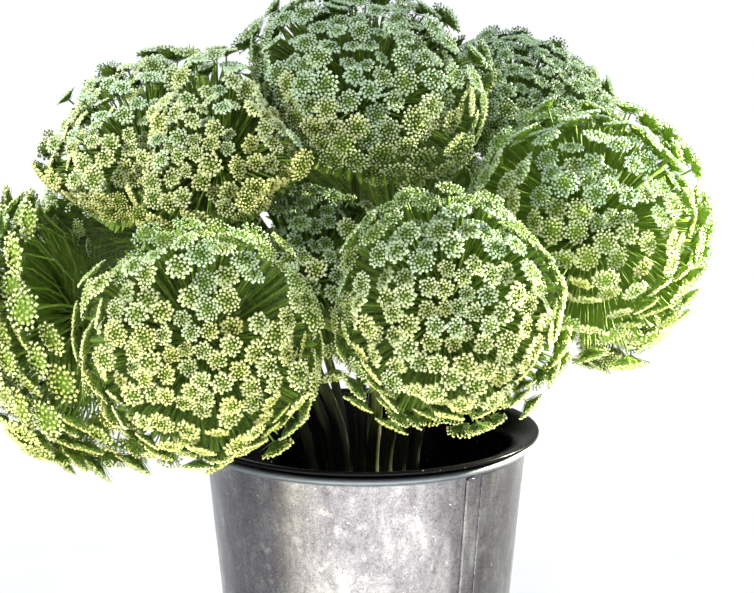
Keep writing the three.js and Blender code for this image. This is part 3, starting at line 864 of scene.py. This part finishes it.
def stalk_pattern():
    """A stalk one metre long from a point at the origin, three-sided, to be shortened in each copy."""
    clear_selection()
    bpy.ops.mesh.primitive_cone_add(vertices=3, radius1=0, radius2=STALK_RADIUS, depth=1,
                                    location=(0, 0, 0.5), end_fill_type="NGON")
    piece = settle(fresh("stalk_pattern"))
    mark_all(piece, "petal", 0)
    return piece


def bract_pattern(long):
    """A thread-like bract: a slim cone bent outwards."""
    clear_selection()
    bpy.ops.mesh.primitive_cone_add(vertices=3, radius1=BRACT_RADIUS, radius2=0, depth=long,
                                    location=(0, 0, long / 2), end_fill_type="NGON")
    piece = settle(fresh("bract_pattern"))
    bpy.ops.object.mode_set(mode="EDIT")
    bpy.ops.mesh.select_all(action="SELECT")
    bpy.ops.mesh.bisect(plane_co=(0, 0, long / 2), plane_no=(0, 0, 1))
    for share, shift in BRACT_BENDS:
        select_points(piece, lambda co, low=share * long: co.z > low)
        bpy.ops.transform.translate(value=(0, shift * long, -BRACT_DROP * shift * long))
    bpy.ops.object.mode_set(mode="OBJECT")
    mark_all(piece, "petal", 0)
    return piece


def in_flute(co, ribs_round):
    """Whether a point of a bud bed's rim is in a flute, and not on a rib."""
    return round(math.atan2(co.y, co.x) * ribs_round / math.pi) % 2 == 1


def bud_bed(radius, ribs_round, flute):
    """The close mass of stalks and green buds inside an umbellet: a fluted bowl under a low dome."""
    rim = BED_WIDTH * radius
    height = (UMBELLET_DEPTH - UMBELLET_SAG - BED_SUNK) * radius
    dome = BED_DOME * radius
    near = NEARNESS * radius
    clear_selection()
    bpy.ops.mesh.primitive_cone_add(vertices=2 * ribs_round, radius1=rim, radius2=0, depth=dome,
                                    location=(0, 0, height + dome / 2), end_fill_type="TRIFAN")
    piece = settle(fresh("bud_bed"))
    points = piece.data.vertices
    ribs = [point.index for point in points
            if math.hypot(point.co.x, point.co.y) > rim / 2 and not in_flute(point.co, ribs_round)]
    flutes = [point.co.copy() for point in points if in_flute(point.co, ribs_round)]
    bpy.ops.object.mode_set(mode="EDIT")
    select_points(piece, lambda co: any((co - place).length < near for place in flutes))
    bpy.ops.transform.resize(value=(flute, flute, 1), center_override=(0, 0, 0))
    bpy.ops.transform.translate(value=(0, 0, -BED_DIP * radius))
    select_points(piece, lambda co: co.z < height + near and math.hypot(co.x, co.y) < rim / 2)
    bpy.ops.transform.translate(value=(0, 0, BED_POINT * radius - height))
    bpy.ops.object.mode_set(mode="OBJECT")
    mark(piece, "petal", [RIB_PETAL if point.index in ribs else 0.0 for point in piece.data.vertices])
    return piece


def umbellet_pattern(kind, radius, florets, bracts, opening, seed):
    """A small umbel at its real size: florets on fine stalks from one node, with thread-like bracts."""
    floret, stalk, bract = floret_pattern(), stalk_pattern(), bract_pattern(radius)
    pieces = []
    for number in range(florets):
        out = ((number + 0.5) / florets) ** FLORET_CROWDING
        turn = number * GOLDEN_ANGLE + seed
        depth = UMBELLET_DEPTH - UMBELLET_SAG * out ** 2 + draw_from(CRUST_UNEVENNESS, number, seed)
        place = Vector((out * math.cos(turn), out * math.sin(turn), depth)) * radius
        lean = (place.normalized() + UP).normalized()
        tilt = [draw_from(FLORET_TILT, number, seed + salt) for salt in (1, 2)]
        lean += Vector((*tilt, 0))
        spin = draw_from(FULL_TURN, number, seed + 3)
        scale = draw_from(FLORET_SIZES, number, seed + 4) * (INMOST_SIZE + SIZE_GROWTH * out)
        flower = copy_of(floret, Matrix.Translation(place) @ turned_to(lean, spin) @ Matrix.Scale(scale, 4))
        mark(flower, "petal", read_mark(floret, "petal") * (INMOST_OPENNESS + opening * out))
        pieces.append(flower)
        if out > INNERMOST_STALK:
            pieces.append(copy_of(stalk, turned_to(place, spin) @ Matrix.Diagonal((1, 1, place.length, 1))))
    for number in range(bracts):
        turn = 2 * math.pi * (number + draw_from(BRACT_STRAY, number, seed + 5)) / bracts
        lean = Vector((math.cos(turn), math.sin(turn), draw_from(BRACT_RISE, number, seed + 6)))
        long = draw_from(BRACT_LENGTHS, number, seed + 7)
        pieces.append(copy_of(bract, turned_to(lean, math.pi / 2) @ Matrix.Scale(long, 4)))
    put_away(floret, stalk, bract)
    return joined("umbellet_" + kind, [bud_bed(radius, BED_RIBS, BED_FLUTE), *pieces])


# Heads

def make_heads():
    """Each head's values in metres and radians, with its ball and its two sideways directions."""
    heads = []
    for index, stem in enumerate(STEMS):
        head = {**PLAIN_HEAD, **stem, "index": index}
        for length in ("radius", "thick"):
            head[length] *= MM
        for angle in ("spread", "rim"):
            head[angle] = math.radians(head[angle])
        head["hub"] = Vector(stem["hub"]) * MM
        head["facing"] = Vector(stem["facing"]).normalized()
        head["first"] = UP.cross(head["facing"]).normalized()
        head["second"] = head["facing"].cross(head["first"])
        head["ball"] = head["hub"] + head["facing"] * BALL_AHEAD * head["radius"]
        heads.append(head)
    return heads


HEADS = make_heads()
STEM_SAMPLES = 91
STEM_LINES = [spaced(stem_route(stem), STEM_SAMPLES) for stem in STEMS]
STEM_POINTS = np.array([[tuple(point) for point in line] for line in STEM_LINES])
STEM_WIDTHS = np.array([stem["thick"] * MM * NODE_SWELL for stem in STEMS])
CONE_LEVELS = np.array([0.1, 0.25, 0.4, 0.55, 0.7, 0.85, 1, 1.15])


def planes_round(head):
    """Between two heads lies the plane where their balls meet, and each keeps to its own side."""
    planes = []
    for other in HEADS:
        if other is head:
            continue
        normal = other["ball"] - head["ball"]
        distance = normal.length
        normal.normalize()
        reach = (distance ** 2 + head["radius"] ** 2 - other["radius"] ** 2) / (2 * distance)
        planes.append((normal, normal.dot(head["ball"]) + reach - NEIGHBOUR_GAP / 2))
    return planes


def outward_lean(head, angle, rise):
    """The angle that an umbellet faces off the head's axis.

    It grows early to the rim's, so that those near the rim overlap. Those above the hub turn out less.
    """
    share = min(max((angle / head["early"] - RIM_START) / (RIM_FULL - RIM_START), 0), 1)
    share = share * share * (3 - 2 * share)
    full = head["rim"] + (min(UPPER_LEAN, head["rim"]) - head["rim"]) * max(rise, 0)
    return FACE_LEAN * angle * (1 - share) + full * share


def place_umbellet(head, angle, turn, disc, share):
    """An umbellet from its angle off the head's axis, turn about it, radius, and share of the full ray."""
    sideways = head["first"] * math.cos(turn) + head["second"] * math.sin(turn)
    ray = sideways * math.sin(angle) + head["facing"] * FLATTEN * math.cos(angle)
    reach = ray * head["radius"] * share
    lean = outward_lean(head, angle, sideways.z)
    out = sideways * math.sin(lean) + head["facing"] * math.cos(lean)
    crown = head["hub"] + reach
    bend = crown - out * RAY_BEND * reach.length
    start = head["hub"] + (bend - head["hub"]).normalized() * RAY_START
    return dict(crown=crown, bend=bend, out=out, disc=disc, start=start, angle=angle,
                node=crown - out * UMBELLET_DEPTH * disc)


def clear_of_neighbours(umbellet, planes):
    """Whether an umbellet is on its own head's side of every plane."""
    for normal, limit in planes:
        tilt = normal.dot(umbellet["out"])
        extent = umbellet["disc"] * (math.sqrt(max(0, 1 - tilt * tilt)) + max(CROWN_ABOVE * tilt, 0))
        if normal.dot(umbellet["crown"]) + extent > limit:
            return False
    return True


def clear_of_stems(umbellet, head):
    """Whether an umbellet's cone of stalks is clear of every stem, but for its own stem near the hub."""
    node, crown = np.array(umbellet["node"]), np.array(umbellet["crown"])
    centres = node + CONE_LEVELS[:, None] * (crown - node)
    wide = np.minimum(CONE_LEVELS, 1) * umbellet["disc"]
    distance = np.linalg.norm(STEM_POINTS[:, :, None, :] - centres[None, None], axis=3)
    near = distance < STEM_WIDTHS[:, None, None] + STEM_CLEARANCE + wide[None, None]
    own = np.linalg.norm(STEM_POINTS[head["index"]] - np.array(head["hub"]), axis=1) < OWN_STEM_REACH
    near[head["index"], own] = False
    return not near.any()


def clear_of_bucket(umbellet):
    """Whether an umbellet is outside the liner's lip or above it."""
    crown, out, disc = umbellet["crown"], umbellet["out"], umbellet["disc"]
    drop = disc * math.sqrt(max(0, 1 - out.z ** 2)) + CROWN_BELOW * disc * abs(out.z)
    outside = math.hypot(crown.x, crown.y) - disc > LIP_RADIUS + LIP_CLEARANCE
    return outside or crown.z - drop > LIP_HEIGHT + LIP_CLEARANCE


def coverage_at(angle):
    """How closely umbellets cover the dome at an angle off its axis."""
    rim = RIM_COVERAGE * math.exp(-((angle - RIM_ANGLE) / RIM_WIDTH) ** 2)
    top = TOP_COVERAGE * math.exp(-(angle / TOP_WIDTH) ** 2)
    return (COVERAGE + rim + top) * (BACK_COVERAGE if angle > math.pi / 2 else 1)


def spiral_over_dome(spread, crowd):
    """Each umbellet's angle off the axis and its share of the head's radius. Each takes its own patch."""
    fall = FIRST_PATCH * INNER_DISC ** 2
    while fall < 1 - math.cos(spread):
        angle = math.acos(1 - fall)
        disc = INNER_DISC + DISC_GROWTH * angle / spread
        yield angle, disc
        steepness = math.hypot(math.cos(angle), FLATTEN * math.sin(angle))
        fall += disc ** 2 / (2 * coverage_at(angle) * steepness * crowd)


def umbellets_of(head):
    """Umbellets lie on the dome in a golden-angle spiral, and a crowded one draws back on a shorter ray."""
    planes = planes_round(head)
    index, loose = head["index"], head["loose"]
    placed = []
    for number, (angle, size) in enumerate(spiral_over_dome(head["spread"], head["crowd"])):
        turn = number * GOLDEN_ANGLE + index
        unevenness = DISC_VARIATION * loose * draw_from(EITHER_WAY, number, index + 20)
        disc = head["radius"] * size * (1 + unevenness)
        share = 1 + LENGTH_VARIATION * loose * draw_from(EITHER_WAY, number, index)
        while share > SHORTEST_RAY:
            umbellet = place_umbellet(head, angle, turn, disc * share, share)
            if clear_of_neighbours(umbellet, planes):
                left_out = umbellet["out"].z > THIN_START and draw(number, index + 50) < head["thin"]
                if not left_out and clear_of_stems(umbellet, head) and clear_of_bucket(umbellet):
                    placed.append(umbellet)
                break
            share -= DRAW_BACK
    return placed


def ray_strands(head, umbellets):
    """All the rays of a head, and the long thread-like bracts under it, as fine tapering strands."""
    clear_selection()
    bpy.ops.curve.primitive_bezier_curve_add()
    strands = bpy.context.object
    curve = strands.data
    curve.splines.clear()
    curve.dimensions = "3D"
    curve.resolution_u = 3
    curve.bevel_mode = "ROUND"
    curve.bevel_depth = 1.0
    curve.bevel_resolution = 0
    curve.use_fill_caps = True
    for umbellet in umbellets:
        end = umbellet["node"] + umbellet["out"] * RAY_END
        add_strand(curve, umbellet["start"], umbellet["bend"], end, RAY_RADII)
    start = head["hub"] - head["facing"] * LONG_BRACT_BACK
    for number in range(head["bracts"]):
        turn = number * GOLDEN_ANGLE
        sideways = head["first"] * math.cos(turn) + head["second"] * math.sin(turn)
        long = head["radius"] * draw_from(LONG_BRACT_LENGTHS, number, head["index"] + 60)
        lean = draw_from(LONG_BRACT_LEAN, number, head["index"] + 61)
        bend = start + (sideways * LONG_BRACT_BEND - head["facing"] * lean) * long
        drop = draw_from(LONG_BRACT_END, number, 62)
        end = start + (sideways * LONG_BRACT_REACH - head["facing"] * drop) * long
        add_strand(curve, start, bend, end, LONG_BRACT_RADII)
    take_up(strands)
    bpy.ops.object.convert(target="MESH")
    piece = fresh("strands")
    mark_all(piece, "petal", RAY_PETAL)
    mark_all(piece, "tone", MIDDLE_TONE)
    return piece


def add_strand(curve, start, bend, end, radii):
    """One strand from start to end, drawn towards its bend, with its radii at the two ends."""
    line = curve.splines.new("BEZIER")
    line.bezier_points.add(1)
    for point, place, radius in zip(line.bezier_points, (start, end), radii):
        point.co = place
        handle = place.lerp(bend, 2 / 3)
        point.handle_left = handle if place is end else place
        point.handle_right = handle if place is start else place
        point.radius = radius


def stem_cuts(head):
    """Planes that part a head's mass of rays from each stem that passes beside its hub."""
    cuts = []
    for number, points in enumerate(STEM_POINTS):
        away = points - np.array(head["hub"])
        ahead = away @ np.array(head["facing"])
        level = (ahead > -MASS_BAND) & (ahead < MASS_BAND + MASS_HEIGHT * head["radius"])
        if number == head["index"] or not level.any():
            continue
        sideways = (away - ahead[:, None] * np.array(head["facing"]))[level]
        nearest = Vector(sideways[np.linalg.norm(sideways, axis=1).argmin()])
        normal = nearest.normalized()
        cuts.append((normal, normal.dot(head["hub"]) + max(nearest.length - MASS_BAND, 0)))
    return cuts


def ray_mass(head):
    """The close mass of inner rays: a fluted plate over the hub, cut where another head or a stem begins."""
    wide = head["mass"] * head["radius"] / BED_WIDTH
    piece = bud_bed(1, MASS_RIBS, MASS_FLUTE)
    size = Matrix.Diagonal((wide, wide, MASS_HEIGHT * head["radius"], 1))
    piece.matrix_world = Matrix.Translation(head["hub"]) @ turned_to(head["facing"]) @ size
    settle(piece)
    bpy.ops.object.mode_set(mode="EDIT")
    for normal, limit in planes_round(head) + stem_cuts(head):
        bpy.ops.mesh.select_all(action="SELECT")
        bpy.ops.mesh.bisect(plane_co=normal * limit, plane_no=normal, use_fill=True, clear_outer=True)
    bpy.ops.object.mode_set(mode="OBJECT")
    mark_all(piece, "tone", MIDDLE_TONE)
    return piece


def hub_knob(head):
    """The swollen disc that the rays spring from, sunk a little over the stem's end."""
    clear_selection()
    bpy.ops.mesh.primitive_uv_sphere_add(segments=14, ring_count=8, radius=1)
    piece = fresh("knob")
    bpy.ops.object.mode_set(mode="EDIT")
    select_points(piece, lambda co: co.z < KNOB_UNDERSIDE)
    bpy.ops.transform.resize(value=(KNOB_WAIST, KNOB_WAIST, 1), center_override=(0, 0, 0))
    bpy.ops.object.mode_set(mode="OBJECT")
    wide = head["thick"] * KNOB_WIDTH
    size = Matrix.Diagonal((wide, wide, HUB_BACK * KNOB_DEPTH, 1))
    piece.matrix_world = Matrix.Translation(head["hub"]) @ turned_to(head["facing"]) @ size
    mark_all(piece, "petal", 0)
    mark_all(piece, "tone", MIDDLE_TONE)
    return piece


def dressed_umbellet(head, number, umbellet, patterns):
    """A copy of the pattern that suits an umbellet best, in its place and with its own tone."""
    pattern = patterns[-1]
    if umbellet["angle"] < RIM_PATTERN:
        pattern = min(patterns[:-1], key=lambda choice: abs(choice["radius"] - umbellet["disc"]))
    tilt = Vector([draw_from(EITHER_WAY, number, salt) for salt in (31, 32, 33)])
    out = (umbellet["out"] + tilt * math.tan(UMBELLET_TILT * head["loose"])).normalized()
    spin = draw_from(FULL_TURN, number, head["index"] + 34)
    size = Matrix.Scale(CROWN_SHARE * umbellet["disc"] / pattern["radius"], 4)
    piece = copy_of(pattern["piece"], Matrix.Translation(umbellet["node"]) @ turned_to(out, spin) @ size)
    upward, downward = max(out.z, 0), max(-out.z, 0)
    tone = head["ripe"] + draw_from(TONE_RANGE, number, head["index"] + 35)
    # painted light: the tone is paler and cooler on umbellets that face up and warmer on those that face
    # down
    tone += PAINTED_WARM_CREAM * downward - PAINTED_SKY_PALING * upward
    mark_all(piece, "tone", min(max(tone, 0), 1))
    # painted shade: a shaded head's upward umbellets get less of the petal colour
    mark(piece, "petal", read_mark(piece, "petal") * (1 - head["painted_top_shade"] * upward))
    return piece


def make_head(head, patterns):
    umbellets = umbellets_of(head)
    pieces = [dressed_umbellet(head, number, umbellet, patterns)
              for number, umbellet in enumerate(umbellets)]
    pieces += [ray_strands(head, umbellets), ray_mass(head), hub_knob(head)]
    piece = joined("bloom_" + head["name"], pieces)
    mark(piece, "petal", np.maximum(read_mark(piece, "petal"), head["green"]))
    finish_piece(piece, BLOOM, "bloom", "umbel_" + head["name"])


def make_patterns():
    """One of each kind of umbellet, with its radius in metres."""
    patterns = []
    for seed, umbellet in enumerate(UMBELLETS):
        shape = {**umbellet, "radius": umbellet["radius"] * MM}
        patterns.append(dict(radius=shape["radius"], piece=umbellet_pattern(**shape, seed=seed)))
    return patterns


def make_bunch():
    patterns = make_patterns()
    for head in HEADS:
        make_head(head, patterns)
    put_away(*[pattern["piece"] for pattern in patterns])
    outline = rib_outline()
    for index, stem in enumerate(STEMS):
        make_stem(stem, index, outline)
    bpy.data.objects.remove(outline)


# Floor, light and camera

FLOOR_SIZE = 120  # metres
FLOOR_GREYS = [(0.3, (0.84, 0.84, 0.835)), (0.7, (0.88, 0.88, 0.875))]
SKY_GREYS = [(0.0, (0.42, 0.425, 0.43)), (0.45, (0.50, 0.505, 0.51)),
             (0.75, (1.5, 1.55, 1.6)), (1.0, (1.85, 1.92, 2.0))]
LAMP_SIZE = 0.1

# The width of a pool of light is in degrees. The first lamp gives the sunny edge on the right.
LAMPS = [
    dict(name="sun_side", place=(1.7, 0.55, 0.9), aim=(0.21, -0.05, 0.335), width=11, power=2400,
         colour=(1.0, 0.94, 0.66), softness=0.5),
    dict(name="side_fill", place=(-1.2, -1.0, 1.3), aim=(-0.22, 0, 0.34), width=15, power=230,
         colour=(1.0, 0.98, 0.94), softness=0.5),
    dict(name="floor_front", place=(0, -1.1, 1.6), aim=(0.02, -0.56, 0), width=27, power=840,
         colour=(1.0, 0.98, 0.92), softness=0.25),
    dict(name="floor_right", place=(0.4, -1.0, 1.4), aim=(0.40, -0.40, 0), width=21, power=290,
         colour=(1.0, 0.97, 0.92), softness=0.5),
]


def pale_finish():
    finish, tree, shader = new_finish("pale_floor", (0.86, 0.86, 0.855), 0.8)
    speck = ramp(tree, noise(tree, object_place(tree), 12.0, 3), FLOOR_GREYS)
    tree.links.new(speck, shader.inputs["Base Color"])
    return finish


def make_floor():
    clear_selection()
    bpy.ops.mesh.primitive_plane_add(size=FLOOR_SIZE, location=(0, 0, 0))
    floor = settle(fresh("floor"))
    dress(floor, pale_finish())


def pool_light(name, place, aim, width, power, colour, softness):
    """A lamp with a soft-edged round pool of light."""
    clear_selection()
    bpy.ops.object.light_add(type="SPOT", location=place)
    lamp = bpy.context.object
    lamp.name = name
    lamp.data.spot_size = math.radians(width)
    lamp.data.spot_blend = softness
    lamp.data.shadow_soft_size = LAMP_SIZE
    lamp.data.energy = power
    lamp.data.color = colour
    lamp.rotation_euler = (Vector(aim) - Vector(place)).to_track_quat("-Z", "Y").to_euler()


def make_sky():
    """A pale studio dome, brighter overhead than near the floor."""
    world = bpy.data.worlds.new("studio")
    world.use_nodes = True
    tree = world.node_tree
    place = add_node(tree, "ShaderNodeTexCoord")
    dome = ramp(tree, height_of(tree, place.outputs["Generated"]), SKY_GREYS)
    tree.links.new(dome, tree.nodes["Background"].inputs["Color"])
    bpy.context.scene.world = world


def make_lights():
    make_sky()
    for lamp in LAMPS:
        pool_light(**lamp)


LENS = 86.3
SENSOR_WIDTH = 36
CAMERA_PLACE = (0.0069, -1.0955, 0.5072)
CAMERA_PITCH = math.radians(80)


def make_camera():
    clear_selection()
    bpy.ops.object.camera_add(location=CAMERA_PLACE, rotation=(CAMERA_PITCH, 0, 0))
    camera = bpy.context.object
    camera.data.lens = LENS
    camera.data.sensor_width = SENSOR_WIDTH
    camera.data.clip_end = 50
    bpy.context.scene.camera = camera


make_bucket()
make_liner()
dress_water()
make_bunch()
make_floor()
make_lights()
make_camera()
bpy.context.scene.view_settings.view_transform = "Standard"
